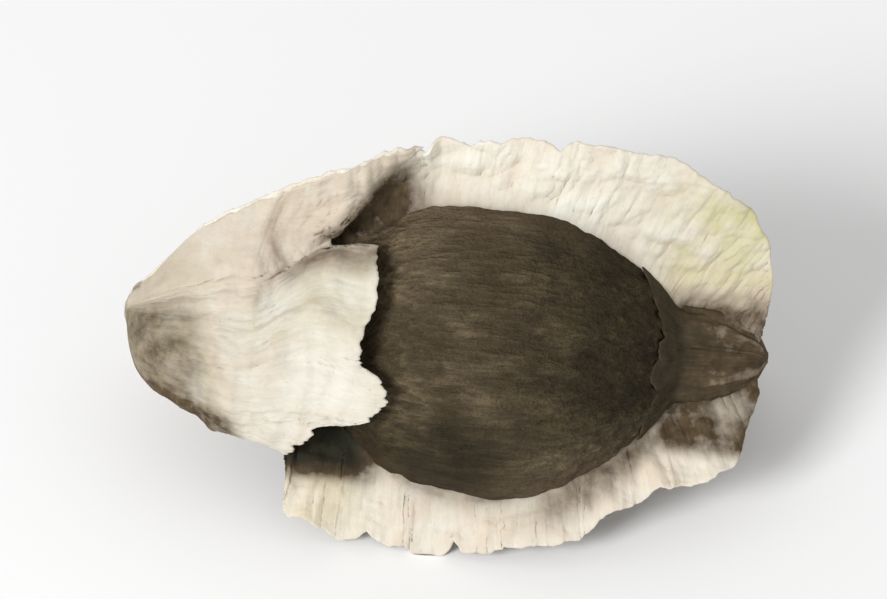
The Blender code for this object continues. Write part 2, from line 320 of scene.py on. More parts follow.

# Stains of other outlines: along the wings' roots, round a pale lump near the front wing's right end, below
# the top wing's fold, at the flap's left tip, in its pleat and on the cups. Below the fold, at the tip, in
# the pleat and at the cups' rims they carry painted shade as well.
ROOT_STAIN = 0.55
ROOT_STAIN_HEIGHT = 0.00030
TOP_ROOT_STAIN = 0.275
LUMP_PLACE = (0.0079, 0.0020)
LUMP_SIZE = 0.0007
LUMP_PALENESS = 0.545
FOLD_SHADE = 1.20
FOLD_SHADE_FROM = (-0.0009, 0.0003)
FOLD_SHADE_RIGHT = -0.0010
FOLD_SHADE_SLANT = 0.45
FOLD_SHADE_FADE = 0.0024
FOLD_SHADE_OUT = (0.0079, 0.0062)
TIP_STAIN_AND_SHADE = 0.80
TIP_FROM = -0.0082
TIP_SHIFT = 0.0005
TIP_SHIFT_SHARES = (0.75, 0.50)
TIP_FADE = 0.0026
TIP_LEAST = 0.30
TIP_SHARES = (0.98, 0.75)
PLEAT_SHADE_BELOW = 0.00060
PLEAT_SHADE_WIDTH = 0.00070
FLAP_FOLD_FROM = (0.0, 0.1)
CUP_STAINS = {"wing_cup_left": 0.50, "wing_cup_right": 1.10}
CUP_CREASE_STAIN = 0.45
# The cups' rims: stain that deepens past full into painted shadow.
CUP_RIM_STAIN_AND_SHADE = 1.6
CUP_RIM_SHADE_FADES = (0.0026, 0.0002)

# How warm each paper is without its patches, how far the flap's white and brightest parts take from its
# warmth and faint stain, how green its tip is, and how close the cups' fibres stand.
TOP_WARMTH = 0.12
TOP_FOLDED_WARMTH = 0.05
FRONT_WARMTH = 0.45
REAR_WARMTH = 0.35
FLAP_WARMTH = 0.70
FLAP_WHITENESS = 0.55
FLAP_BRIGHTNESS = 0.15
FLAP_STAIN = 0.15
FLAP_CLEANNESS = 0.08
TIP_GREEN = 0.6
CUP_WARMTH = 0.8
CUP_FIBRES_ROUND = 3

# Speckles of each material: how many to a metre, the noise where they start and are full, and their detail.
SPECKLE_ROUGHNESS = 0.6
PAPER_SPECKLES = {
    "fibres": (1.0, 0.35, 0.65, 5.0),
    "blotches": (700.0, 0.35, 0.65, 4.0),
    "flecks": (7000.0, 0.66, 0.72, 2.0),
    "breaks": (1500.0, 0.30, 0.70, 6.0),
    "umber": (2600.0, 0.32, 0.62, 6.0),
    "grit": (6000.0, 0.30, 0.70, 4.0),
}
COAT_SPECKLES = {
    "fibres": (1.0, 0.35, 0.65, 5.0),
    "streaks": (1.0, 0.38, 0.62, 3.0),
    "mottle": (450.0, 0.27, 0.73, 8.0),
    "flecks": (6500.0, 0.62, 0.72, 3.0),
    "grain": (15000.0, 0.35, 0.65, 2.0),
    "grit": (8000.0, 0.30, 0.70, 4.0),
}

# The paper's surface: fibres to a millimetre, how strongly each speckle shows, and its finish.
PAPER_FIBRES = (6.0, 0.8, 1.0)
PAPER_VALLEYS = -0.55
PAPER_BLOTCHES = 0.30
STAIN_BREAKS = 0.55
STAIN_LEAST = 0.68
STAIN_FULL = 1.0
UMBER_FIBRES = 0.6
PALE_FIBRES = 0.22
PAPER_FLECKS = 0.16
PAPER_GRIT = 0.7
PAPER_BUMP = {"Strength": 0.55, "Distance": 0.00002}
PAPER_ROUGHNESS = 0.85
PAPER_FINISH = {
    "Subsurface Weight": 0.15, "Subsurface Radius": (0.0006, 0.0005, 0.00035), "Subsurface Scale": 1.0,
    "Specular IOR Level": 0.25,
}

# The coat's surface: its fibres and streaks to a metre, how strongly each speckle shows, and its finish.
COAT_FIBRE_LENGTHS = (260.0, 2200.0, 2200.0)
COAT_STREAK_LENGTHS = (900.0, 7500.0, 7500.0)
# Painted shade in the coat's low ground: where its relief sinks, it darkens towards COAT_DARK.
LOW_GROUND = {"From Min": 0.15, "From Max": -0.45}
LOW_GROUND_SHADE = 0.55
FIBRE_SHADE = 0.45
GRAIN_SHADE = 0.30
STREAK_SHADE = 0.50
RIDGE_SHARPNESS = 10.0
RIDGE_TINT = 0.6
SCUFF_TINT = 0.25
# How far the painted shade on the coat's right and low side goes towards its colour.
SIDE_PAINTED_SHADE = 0.95
COAT_BUMP = {"Strength": 1.0, "Distance": 0.00006}
COAT_ROUGHNESS = 0.68
COAT_SPECULAR = 0.20

# Places on a sheet are marked on its vertices in millimetres.
MARKS_TO_A_METRE = 1000

random_source = np.random.default_rng(NOISE_SEED)
SHUFFLED = random_source.permutation(NOISE_TABLE)
DIRECTIONS = random_source.normal(size=(NOISE_TABLE, 3))
DIRECTIONS /= np.linalg.norm(DIRECTIONS, axis=1, keepdims=True)


def smooth_step(low, high, value):
    part = np.clip((value - low) / (high - low), 0.0, 1.0)
    return part * part * (3 - 2 * part)


def noise(points, seed):
    """Gradient noise of about -1 to 1 at an array of points (..., 3) whose cells are 1 across."""
    points = points + seed * NOISE_SHIFT
    cell = np.floor(points).astype(int)
    part = points - cell
    ease = part**3 * (part * (part * 6 - 15) + 10)
    total = np.zeros(points.shape[:-1])
    for corner in itertools.product((0, 1), repeat=3):
        hashed = np.zeros(points.shape[:-1], int)
        for axis in range(3):
            hashed = SHUFFLED[(hashed + cell[..., axis] + corner[axis]) % NOISE_TABLE]
        weight = np.prod(np.where(corner, ease, 1 - ease), axis=-1)
        total += weight * np.sum(DIRECTIONS[hashed] * (part - corner), axis=-1)
    return total * NOISE_GAIN


def rough(points, seed, octaves=4, gain=0.5):
    """Noise with finer and finer noise added to it."""
    total, strength = 0.0, 1.0
    for octave in range(octaves):
        total = total + strength * noise(points * 2.0**octave, seed + octave)
        strength *= gain
    return total


def creased(points, seed, octaves=3, gain=0.5):
    """Noise whose valleys are sharp, as in crumpled paper."""
    total, strength = 0.0, 1.0
    for octave in range(octaves):
        total = total + strength * (np.abs(noise(points * 2.0**octave, seed + octave)) - CREASE_MEAN)
        strength *= gain
    return total


def plane(u, v, cell_u, cell_v):
    """Noise points for a place (u, v) on a sheet, with cells of those sizes."""
    u, v = np.broadcast_arrays(u / cell_u, v / cell_v)
    return np.stack([u, v, np.zeros_like(u)], axis=-1)


def curve_through(points, shares):
    """Points of a Catmull-Rom curve at shares of its chord length, from 0 to 1."""
    points = np.array(points)
    chords = np.linalg.norm(np.diff(points, axis=0), axis=1)
    lengths = np.concatenate([[0.0], np.cumsum(chords)])
    target = np.clip(shares, 0.0, 1.0) * lengths[-1]
    span = np.clip(np.searchsorted(lengths, target, side="right") - 1, 0, len(chords) - 1)
    part = ((target - lengths[span]) / chords[span])[..., None]
    before, start = points[np.maximum(span - 1, 0)], points[span]
    end, after = points[span + 1], points[np.minimum(span + 2, len(chords))]
    return 0.5 * (
        2 * start
        + (end - before) * part
        + (2 * before - 5 * start + 4 * end - after) * part**2
        + (3 * start - before - 3 * end + after) * part**3
    )


def radius_at(points, x):
    """The height of the curve over x."""
    curve = curve_through(points, np.linspace(0, 1, CURVE_SAMPLES))
    return np.interp(x, curve[:, 0], curve[:, 1])


def around_axis(x, radius, angle):
    x, radius, angle = np.broadcast_arrays(x, radius, angle)
    return np.stack([x, radius * np.cos(angle), AXIS_HEIGHT + radius * np.sin(angle)], axis=-1)


def ridge_nearness(angle):
    """1 on the coat's three ridges, where the wings stand, and 0 in the middle of its faces."""
    return (1 + np.cos(RIDGES * (angle - math.radians(WING_ANGLES["top"])))) / 2


def three_angled(angle):
    nearness = ridge_nearness(angle)
    return 1 + RIDGE_SHARE * nearness + KEEL_SHARE * nearness**KEEL_SHARPNESS


def coat_profile(polar):
    """(along X, out from the axis in a face's middle), from 0 at the right tip to pi at the left one."""
    rightness = (1 + np.cos(polar)) / 2
    half_length = COAT_LEFT + (COAT_RIGHT - COAT_LEFT) * rightness
    sharpness = END_SHARPNESS_LEFT + (END_SHARPNESS_RIGHT - END_SHARPNESS_LEFT) * rightness
    return half_length * np.cos(polar), FACE_RADIUS * np.sin(polar).clip(0.0) ** sharpness


def coat_radius_at(x, angle):
    """How far out from the axis the coat's surface lies, and 0 past its ends."""
    along, out = coat_profile(np.linspace(math.pi, 0, CURVE_SAMPLES))
    return np.interp(x, along, out, left=0.0, right=0.0) * three_angled(angle)


def grid_normals(points):
    normals = np.cross(np.gradient(points, axis=1), np.gradient(points, axis=0))
    return normals / np.maximum(np.linalg.norm(normals, axis=-1, keepdims=True), SHORTEST)


def above_table(points):
    """The same points, with those under the table pressed up onto it."""
    points[..., 2] = np.maximum(points[..., 2], TABLE_CLEARANCE)
    return points


def mesh_object(name, vertices, faces, marks):
    """A smooth mesh object with the marks, such as stains, as values on its vertices."""
    mesh = bpy.data.meshes.new(name)
    mesh.from_pydata(vertices.tolist(), [], faces)
    for mark, values in marks.items():
        attribute = mesh.attributes.new(mark, "FLOAT", "POINT")
        attribute.data.foreach_set("value", values.astype(np.float32))
    mesh.shade_smooth()
    obj = bpy.data.objects.new(name, mesh)
    bpy.context.scene.collection.objects.link(obj)
    return obj


def quads(index):
    """The quads between neighbours in a grid of vertex numbers."""
    corners = [index[:-1, :-1], index[1:, :-1], index[1:, 1:], index[:-1, 1:]]
    return np.stack(corners, axis=-1).reshape(-1, 4)


def closed_sheet(name, middle, half_thickness, marks):
    """A sheet with two faces, from its middle surface. Both share the vertices of its border."""
    rows, columns = middle.shape[:2]
    inside = np.zeros((rows, columns), bool)
    inside[1:-1, 1:-1] = True
    offset = grid_normals(middle) * np.where(inside, half_thickness, 0.0)[..., None]
    vertices = above_table(np.concatenate([(middle + offset).reshape(-1, 3), (middle - offset)[inside]]))
    front = np.arange(rows * columns).reshape(rows, columns)
    back = front.copy()
    back[inside] = rows * columns + np.arange(inside.sum())
    faces = np.concatenate([quads(front), quads(back)[:, ::-1]]).tolist()
    doubled = {mark: np.concatenate([values.ravel(), values[inside]]) for mark, values in marks.items()}
    return mesh_object(name, vertices, faces, doubled)


def capped_tube(name, rings, marks):
    """A closed surface through rings of points, each end drawn together in a point."""
    count, spokes = rings.shape[:2]
    tips = rings[[0, -1]].mean(axis=1)
    vertices = above_table(np.concatenate([rings.reshape(-1, 3), tips]))
    index = np.arange(count * spokes).reshape(count, spokes)
    wrapped = np.concatenate([index, index[:, :1]], axis=1)
    faces = quads(wrapped).tolist()
    faces += [[count * spokes, a, b] for a, b in zip(wrapped[0], wrapped[0, 1:])]
    faces += [[count * spokes + 1, b, a] for a, b in zip(wrapped[-1], wrapped[-1, 1:])]
    capped = {}
    for mark, values in marks.items():
        capped[mark] = np.append(values.ravel(), values[[0, -1]].mean(axis=1))
    return mesh_object(name, vertices, faces, capped)


def wrapped_normals(rings):
    """Normals of a grid whose last column is next to its first."""
    padded = np.concatenate([rings[:, -2:], rings, rings[:, :2]], axis=1)
    return grid_normals(padded)[:, 2:-2]


def relief(kind, noise_of, u, v, seed, octaves):
    """How far one kind of relief stands out at each place (u, v) of a sheet."""
    height, cell_u, cell_v = kind
    return height * noise_of(plane(u, v, cell_u, cell_v), seed, octaves)


def crumple(u, v, seed):
    """How far a dry crumpled sheet stands out of its plane at (u, v), v running from root to edge."""
    drift = relief(CREASE_DRIFT, rough, u, v, seed + 20, 2)
    return (
        relief(BROAD_CREASE, creased, u + drift, v, seed, 2)
        + relief(PUCKER, creased, u + drift, v, seed + 3, 2)
        + relief(LONG_FOLD, creased, u, v + drift, seed + 5, 2)
        + relief(FINE_CREASE, creased, u, v, seed + 7, 3)
        + relief(FIBRE_RELIEF, rough, u, v, seed + 11, 2)
    )


def bends(u, cell, seed, octaves):
    """Noise along an edge, with finer and finer noise added to it."""
    return rough(plane(u, 0.0, cell, 1.0), seed, octaves)


def frayed(u, seed, tears=TEARS):
    """How far back from its full outline a torn edge lies at each place along it."""
    torn = FRAY_DEPTH * (bends(u, FRAY_CELL, seed, 3) + FRAY_MEAN).clip(0.0)
    torn += TOOTH_DEPTH * np.abs(bends(u, TOOTH_CELL, seed + 4, 4))
    draw = np.random.default_rng(seed)
    for _ in range(tears):
        place = draw.uniform(u.min(), u.max())
        depth = draw.uniform(*TEAR_DEPTHS)
        half_width = draw.uniform(*TEAR_HALF_WIDTHS)
        torn = torn + depth * (1 - np.abs(u - place) / half_width).clip(0.0) ** TEAR_TAPER
    return torn


def half_thickness_of(above, from_rim):
    """Half the paper's thickness, from the height above the coat and the distance from the torn rim."""
    full = PAPER_THICKNESS + (ROOT_THICKNESS - PAPER_THICKNESS) * np.exp(-above.clip(0.0) / ROOT_FILLET)
    rounding = np.sqrt(1 - (1 - (from_rim / RIM).clip(0.0, 1.0)) ** 2)
    return full / 2 * rounding


def loose_half_thickness(from_rim):
    """The same for paper that doesn't grow from the coat."""
    return half_thickness_of(np.full(from_rim.shape, math.inf), from_rim)


def edge_curve(wing, share):
    """Points of a wing's outer edge, before it is torn, at shares of its length from left to right."""
    if wing == "top":
        return curve_through(TOP_EDGE, share)
    if wing == "rear":
        return curve_through(REAR_EDGE, share)
    folded = curve_through(FRONT_EDGE_FOLDED, share / FRONT_FOLDED_SHARE)
    past_tear = (share - FRONT_STANDING_SHARE) / (1 - FRONT_STANDING_SHARE)
    standing = curve_through(FRONT_EDGE_STANDING, past_tear)
    torn_off = ((share - FRONT_FOLDED_SHARE) / (FRONT_STANDING_SHARE - FRONT_FOLDED_SHARE)).clip(0.0, 1.0)
    return folded + (standing - folded) * torn_off[:, None]


def first_level(root_x, edge, angle):
    """Where each column of a wing comes out of the coat, as a level from 0 on the axis to 1 at the edge."""
    level = np.linspace(0, 1, LEVEL_SAMPLES)[:, None]
    x = root_x + (edge[:, 0] - root_x) * level
    buried = edge[:, 1] * level < coat_radius_at(x, angle) - ROOT_DEPTH
    return np.where(buried, level, 0.0).max(axis=0)


def fold_at(radius):
    """Where the top wing's slanting fold lies along X."""
    return FOLD_AT_EDGE + (radius - FOLD_EDGE_RADIUS) / FOLD_SLOPE


def left_of_fold(x, radius):
    """1 on the top wing's left part, which stands forward, and 0 right of its fold."""
    fold = fold_at(radius)
    half_width = np.interp(radius, (FACE_RADIUS, FOLD_EDGE_RADIUS), FOLD_HALF_WIDTHS)
    return smooth_step(fold + half_width, fold - half_width, x)


def columns_of(wing):
    """The shares of a wing's columns, their places on its whole outer edge, and the lengths along it."""
    share = np.linspace(0, 1, WING_COLUMNS)
    edge = edge_curve(wing, share)
    steps = np.linalg.norm(np.diff(edge, axis=0), axis=1)
    return share, edge, np.concatenate([[0.0], np.cumsum(steps)])


def length_along_top(x, radius):
    """How far along the top wing's outer edge the column ends that runs through each place."""
    share, edge, u = columns_of("top")
    found = (x - ROOT_LEFT) / (ROOT_RIGHT - ROOT_LEFT)
    for _ in range(COLUMN_SEARCH_STEPS):
        level = radius / np.interp(found, share, edge[:, 1])
        root_x = ROOT_LEFT + (ROOT_RIGHT - ROOT_LEFT) * found
        there = root_x + (np.interp(found, share, edge[:, 0]) - root_x) * level
        found = found + (x - there) / (ROOT_RIGHT - ROOT_LEFT)
    return np.interp(found, share, u)


def wing_aside(wing, u, x, radius, seed):
    """How far the wing's middle surface lies from its flat plane, and how far its creases stand out."""
    left, right = LEAN[wing]
    folded = left_of_fold(x, radius) if wing == "top" else 0.0
    reach = (radius / FACE_RADIUS - LEAN_FROM).clip(0.0)
    share = ((x - ROOT_LEFT) / (ROOT_RIGHT - ROOT_LEFT)).clip(0.0, 1.0)
    wave = WAVE_DEPTH * np.sin(2 * math.pi * WAVES_ALONG[wing] * share + WAVE_PHASE[wing])
    lean = right + (left - right) * folded
    step = FOLD_STEP * folded * reach.clip(0.0, 1.0) * smooth_step(*FOLD_STEP_FADES, radius)
    crease = crumple(u, radius, seed)
    loose = smooth_step(0.0, LOOSE_FROM, radius - coat_radius_at(x, math.radians(WING_ANGLES[wing])))
    bent = (lean * reach**2 + wave * reach + step) * np.sin(math.pi * share)
    return bent + crease * (ROOTED_CREASE + (1 - ROOTED_CREASE) * loose), crease


def beside_plane(wing, x, radius, aside):
    """Points at those distances from the axis and from the wing's flat plane."""
    angle = math.radians(WING_ANGLES[wing])
    across = np.array([0.0, -math.sin(angle), math.cos(angle)])
    return around_axis(x, radius, angle) + aside[..., None] * across


def torn_edge(wing, seed):
    """Each column's place on the torn edge, its radius before the tearing, its share and its length."""
    share, edge, u = columns_of(wing)
    full_radius = edge[:, 1].copy()
    inner = np.sin(math.pi * share)
    edge[:, 1] -= frayed(u, seed) * inner**0.5
    edge[:, 0] += EDGE_WANDER[wing] * bends(u, WANDER_CELL, seed + 8, 4) * inner
    return edge, full_radius, share, u


def make_wing(wing, marks_of, finish):
    """A sheet of paper from inside the coat to the wing's torn outer edge, one column beside another."""
    seed = SEEDS[wing]
    edge, full_radius, share, u = torn_edge(wing, seed)
    root_x = ROOT_LEFT + (ROOT_RIGHT - ROOT_LEFT) * share
    angle = math.radians(WING_ANGLES[wing])
    start = first_level(root_x, edge, angle)
    spread = 1 - (1 - np.linspace(0, 1, WING_ROWS)) ** EDGE_CROWDING
    level = start + (1 - start) * spread[:, None]

    x = root_x + (edge[:, 0] - root_x) * level
    radius = edge[:, 1] * level
    above = radius - coat_radius_at(x, angle)
    from_rim = (1 - level) * np.hypot(edge[:, 0] - root_x, edge[:, 1])
    aside, crease = wing_aside(wing, u, x, radius, seed)
    near_edge = (1 - (full_radius * level - radius + from_rim) / CURL_WIDTH).clip(0.0)
    flat = left_of_fold(x, radius) if wing == "top" else 0.0
    aside += EDGE_CURL * bends(u, CURL_CELL, seed + 15, 2) * near_edge**2 * (1 - flat)
    marks = marks_of(x, radius, above) | {
        "along": np.broadcast_to(u, x.shape) * MARKS_TO_A_METRE,
        "out": radius * MARKS_TO_A_METRE,
        "crease": crease / CREASE_SCALE,
    }
    middle = beside_plane(wing, x, radius, aside)
    obj = closed_sheet(f"wing_{wing}", middle, half_thickness_of(above, from_rim), marks)
    return dress(obj, "wings", finish)


def dress(obj, node, finish):
    """The object with its material, set down as the look of one of the construction's parts."""
    obj.data.materials.append(finish)
    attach(obj, "root")
    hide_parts(node)
    return obj


def patch(name, where):
    """How strongly a patch of colour shows, from the measures of each place that it fades over."""
    strength, fades = PATCHES[name]
    for measure, gone, full in fades:
        strength = strength * smooth_step(gone, full, where[measure])
    return strength


def patches(names, where):
    return [patch(name, where) for name in names]


def near_root(above):
    """1 where a wing's paper comes out of the coat, and towards 0 over it."""
    return np.exp(-above.clip(0.0) / ROOT_STAIN_HEIGHT)


def fold_stain_and_shade(x, radius):
    """The brown on the top wing below its fold, stain with painted shade.

    It grows out of the tear and fades to the right.
    """
    right = FOLD_SHADE_RIGHT - FOLD_SHADE_SLANT * (radius - FACE_RADIUS)
    below_fold = smooth_step(*FOLD_SHADE_FROM, x - fold_at(radius))
    before_right = smooth_step(right, right - FOLD_SHADE_FADE, x)
    return FOLD_SHADE * below_fold * before_right * smooth_step(*FOLD_SHADE_OUT, radius)


def top_marks(x, radius, above):
    """How brown, how warm and how green the top wing is; below the fold, stain with painted shade."""
    where = {"x": x, "out": radius}
    stains = patches(["top end stain", "top right stain"], where)
    stains += [TOP_ROOT_STAIN * near_root(above), fold_stain_and_shade(x, radius)]
    warmths = patches(["top left warmth", "top end warmth", "top right warmth"], where)
    return {
        "stain": np.maximum.reduce(stains),
        "warmth": TOP_WARMTH + TOP_FOLDED_WARMTH * left_of_fold(x, radius) + sum(warmths),
        "green": patch("top green", where),
    }


def front_marks(x, radius, above):
    """How brown, how warm and how green the front wing's standing part is; under the flap, painted shadow.
    """
    where = {"x": x, "out": radius, "above": above}
    lump_x, lump_radius = LUMP_PLACE
    lump = np.exp(-((x - lump_x) ** 2 + (radius - lump_radius) ** 2) / LUMP_SIZE**2)
    stains = patches(["front root stain", "front left stain", "front painted shadow under flap"], where)
    stains += [patch("front end stain", where) * (1 - LUMP_PALENESS * lump), ROOT_STAIN * near_root(above)]
    return {
        "stain": np.maximum.reduce(stains),
        "warmth": np.full_like(x, FRONT_WARMTH),
        "green": patch("front green", where),
    }


def rear_marks(x, radius, above):
    """How brown, how warm and how green the rear wing is."""
    where = {"x": x, "aside": np.abs(x), "out": radius}
    return {
        "stain": np.maximum(ROOT_STAIN * near_root(above), patch("rear end stains", where)),
        "warmth": REAR_WARMTH + patch("rear left warmth", where),
        "green": patch("rear green", where),
    }


def flap_angle(x, share):
    """The angle round the axis at each share of the way round the flap."""
    high = FLAP_ANGLE_AT_LEFT
    high = high + (FLAP_ANGLE_AT_TEAR - high) * smooth_step(FLAP_PLEAT_FROM, NOTCH_TIP, x)
    high = high + (FLAP_ANGLE_AT_CORNER - high) * smooth_step(NOTCH_TIP, FLAP_CORNER, x)
    return np.radians(FLAP_START_ANGLE + (high - FLAP_START_ANGLE) * share)


def flap_radius(x, share):
    """The flap's distance from the axis, on a parabola through its low side, middle and high side."""
    low, middle, high = (radius_at(side, x) for side in (FLAP_LOW_SIDE, FLAP_MIDDLE, FLAP_HIGH_SIDE))
    return (
        low * (1 - share) * (1 - 2 * share)
        + middle * 4 * share * (1 - share)
        + high * share * (2 * share - 1)
    )


def pleat_radius(x, risen):
    """The radius of the pleat's rows, from the flap's upper side at 0 to near the wing's edge at 1."""
    start = flap_radius(x, np.ones_like(x))
    return start + (np.maximum(radius_at(TOP_EDGE, x) - PLEAT_MARGIN, start) - start) * risen


def flap_end(share, risen, seed):
    """Where each row of the flap ends at its right: at the torn edge, then the tear, then the fold."""
    corners = np.linspace(0, 1, len(FLAP_TORN_EDGE))
    round_it = share * FLAP_GIRTH
    torn = np.interp(share, corners, FLAP_TORN_EDGE) - frayed(round_it, seed, FLAP_TEARS)
    points = np.abs(bends(round_it, FLAP_POINT_CELL, seed + 9, 3))
    torn -= FLAP_POINTS * points * (share < FLAP_POINTS_TO_SHARE)
    fold = np.full_like(risen, NOTCH_TIP)
    for _ in range(FOLD_SEARCH_STEPS):
        fold = np.maximum(fold_at(pleat_radius(fold, risen)), NOTCH_TIP)
    return torn + (fold - torn) * smooth_step(NOTCH_FROM_SHARE, 1.0, share)


def pleated(hood, x, risen):
    """The hood, and over its upper side the pleat that carries it on into the top wing's face."""
    from_end = 1 - np.linspace(0, 1, x.shape[1])
    from_border = smooth_step(0.0, PLEAT_BORDER, 1 - risen) * smooth_step(0.0, PLEAT_BORDER, from_end)
    lift = PLEAT_BURIED + (PLEAT_LIFT - PLEAT_BURIED) * from_border
    faces = []
    for radius in (pleat_radius(x, risen), pleat_radius(x, 0 * x)):
        aside, _ = wing_aside("top", length_along_top(x, radius), x, radius, SEEDS["top"])
        faces.append(beside_plane("top", x, radius, aside + lift))
    here, at_start = faces
    away = (1 - risen / PLEAT_SHARE).clip(0.0)[..., None] ** 2
    return np.where((risen > 0)[..., None], here + (hood - at_start) * away, hood)


def ramped(surface, x, share):
    """The surface with its left part drawn straight from the hood's shoulder up to its last row."""
    foot_share = np.full_like(x, RAMP_FROM_SHARE)
    foot = around_axis(x, flap_radius(x, foot_share), flap_angle(x, foot_share))
    first = np.argmax(share[:, 0] >= RAMP_FROM_SHARE)
    climbed = ((np.arange(len(x)) - first) / (len(x) - 1 - first)).clip(0.0, 1.0)[:, None, None]
    on_ramp = smooth_step(*RAMP_FADES, x)[..., None] * (climbed > 0)
    return surface + (foot + (surface[-1:] - foot) * climbed - surface) * on_ramp


def smoothed_pleat(surface, x, share):
    """The surface, smoothed round the seed where the pleat starts."""
    smoothed = surface.copy()
    for _ in range(PLEAT_SMOOTHING):
        smoothed[1:-1] = (smoothed[:-2] + 2 * smoothed[1:-1] + smoothed[2:]) / 4
    near_pleat = smooth_step(*PLEAT_SMOOTHED_SHARES, share) * smooth_step(*PLEAT_SMOOTHED, x)
    return surface + (smoothed - surface) * near_pleat[..., None]


def flap_surface(x, share, risen):
    """The flap before it is crumpled: a hood round the coat's end, then a pleat up the top wing's face."""
    hood = around_axis(x, flap_radius(x, share), flap_angle(x, share))
    surface = ramped(pleated(hood, x, risen), x, share)
    return smoothed_pleat(surface, x, share)


def flap_stand(u, from_end, share, risen, crease):
    """How far the flap's creases, folds and lifted torn edge stand out of its surface."""
    seed = SEEDS["flap"]
    own = smooth_step(0.0, FLAP_SMOOTH_TIP, u) * smooth_step(PLEAT_SHARE, 0.0, risen)
    folds = FLAP_FOLDS * rough(plane(share * FLAP_FOLDS_ROUND, u, 1.0, FLAP_FOLD_LENGTH), seed + 2, 2)
    lift = FLAP_LIFT * (FLAP_LIFT_MEAN + bends(share * FLAP_GIRTH, FLAP_LIFT_CELL, seed + 6, 2))
    near_end = (1 - from_end / FLAP_LIFT_WIDTH).clip(0.0) ** 2
    lifted = lift * near_end * smooth_step(*FLAP_LIFT_SHARES, share) * (risen == 0)
    return (crease * FLAP_CREASE_SHARE + folds) * own + lifted


def flap_marks(x, share, risen, round_it):
    """How brown, how warm and how green the flap is. Its brown at the left tip, on the low edge and in the
    pleat is stain with painted shade.
    """
    where = {"x": x, "share": share}
    # The tip's brown is stain with painted shade, where the hood's end curves away.
    tip_from = TIP_FROM + TIP_SHIFT * smooth_step(*TIP_SHIFT_SHARES, share)
    tip = TIP_LEAST + (1 - TIP_LEAST) * smooth_step(*TIP_SHARES, share)
    tip = tip * smooth_step(tip_from, tip_from - TIP_FADE, x)
    # Stain with painted shade along the pleat's valley.
    from_pleat = (round_it - FLAP_GIRTH + PLEAT_SHADE_BELOW) / PLEAT_SHADE_WIDTH
    in_pleat_shade = patch("flap pleat stain and shade", where) * np.exp(-(from_pleat**2))
    # Stain with painted shade, below the top wing's fold.
    in_fold = fold_stain_and_shade(x, pleat_radius(x, risen + 0 * x)) * smooth_step(*FLAP_FOLD_FROM, risen)
    white, brightest = patches(["flap white", "flap brightest"], where)
    stains = patches(["flap left stain and shade", "flap low edge shade"], where)
    stains += [TIP_STAIN_AND_SHADE * tip, in_pleat_shade, in_fold, FLAP_STAIN - FLAP_CLEANNESS * brightest]
    return {
        "stain": np.maximum.reduce(stains),
        "warmth": FLAP_WARMTH - FLAP_WHITENESS * white - FLAP_BRIGHTNESS * brightest,
        "green": patch("flap green", where) + TIP_GREEN * tip,
    }


def make_flap(finish):
    """The folded-up left part of the front wing: a hood over the coat's end, torn off at its right."""
    seed = SEEDS["flap"]
    share = np.concatenate([np.linspace(0, 1, FLAP_ROWS), np.ones(PLEAT_ROWS)])[:, None]
    risen = np.concatenate([np.zeros(FLAP_ROWS), np.arange(1, PLEAT_ROWS + 1) / PLEAT_ROWS])[:, None]
    along = 1 - (1 - np.linspace(0, 1, FLAP_COLUMNS)) ** EDGE_CROWDING
    left = FLAP_MIDDLE[0][0]
    end = flap_end(share, risen, seed)
    x = left + (end - left) * along**FLAP_CROWDING
    u = x - left
    from_end = end - x
    rise = pleat_radius(x, risen + 0 * x) - pleat_radius(x, 0 * x)
    round_it = share * FLAP_GIRTH + rise

    crease = crumple(round_it, u, seed)
    middle = flap_surface(x, share + 0 * x, risen + 0 * x)
    stand = flap_stand(u, from_end, share, risen, crease)
    middle = middle + stand[..., None] * -grid_normals(middle)
    from_upper = np.where(x > NOTCH_TIP, (1 - share) * FLAP_GIRTH, RIM)
    from_rim = np.minimum(np.minimum(from_end, share * FLAP_GIRTH), np.where(risen > 0, RIM, from_upper))
    marks = flap_marks(x, share, risen, round_it) | {
        "along": round_it * MARKS_TO_A_METRE,
        "out": u * MARKS_TO_A_METRE,
        "crease": crease / CREASE_SCALE,
    }
    obj = closed_sheet("wing_flap", middle, loose_half_thickness(from_rim), marks)
    return dress(obj, "wings", finish)


def cup_radius(profile, x, angle, from_rim):
    """How far out a cup's skin lies: just over the coat, and past its end on a neck with three webs."""
    inward = -np.sign(profile[0, 0])
    neck = np.interp(inward * x, inward * profile[:, 0], profile[:, 1])
    web = neck * (1 + CUP_WEB_SHARE * ridge_nearness(angle) ** 2)
    clear = CUP_CLEARANCE * smooth_step(0.0, CUP_SETTLES, from_rim) + CUP_RIM_CLEARANCE
    skin = coat_radius_at(x, angle) + clear
    radius = (web**CUP_ROUNDING + skin**CUP_ROUNDING) ** (1 / CUP_ROUNDING)
    for _ in range(CUP_SMOOTHING):
        radius[1:-1] = (radius[:-2] + 2 * radius[1:-1] + radius[2:]) / 4
    return radius


def cup_rim(profile, angle, seed):
    """Where along X the cup's torn rim lies on the coat. It reaches further along the wings."""
    round_it = np.stack([np.cos(angle), np.sin(angle), 0 * angle], axis=-1)
    wander, wander_bends = CUP_RIM_WANDER
    teeth, teeth_bends = CUP_RIM_TEETH
    reach = wander * rough(round_it * wander_bends, seed, 3)
    reach += teeth * rough(round_it * teeth_bends, seed + 3, 4)
    reach += CUP_ALONG_WINGS * ridge_nearness(angle) ** 2
    return profile[-1, 0] - np.sign(profile[0, 0]) * reach


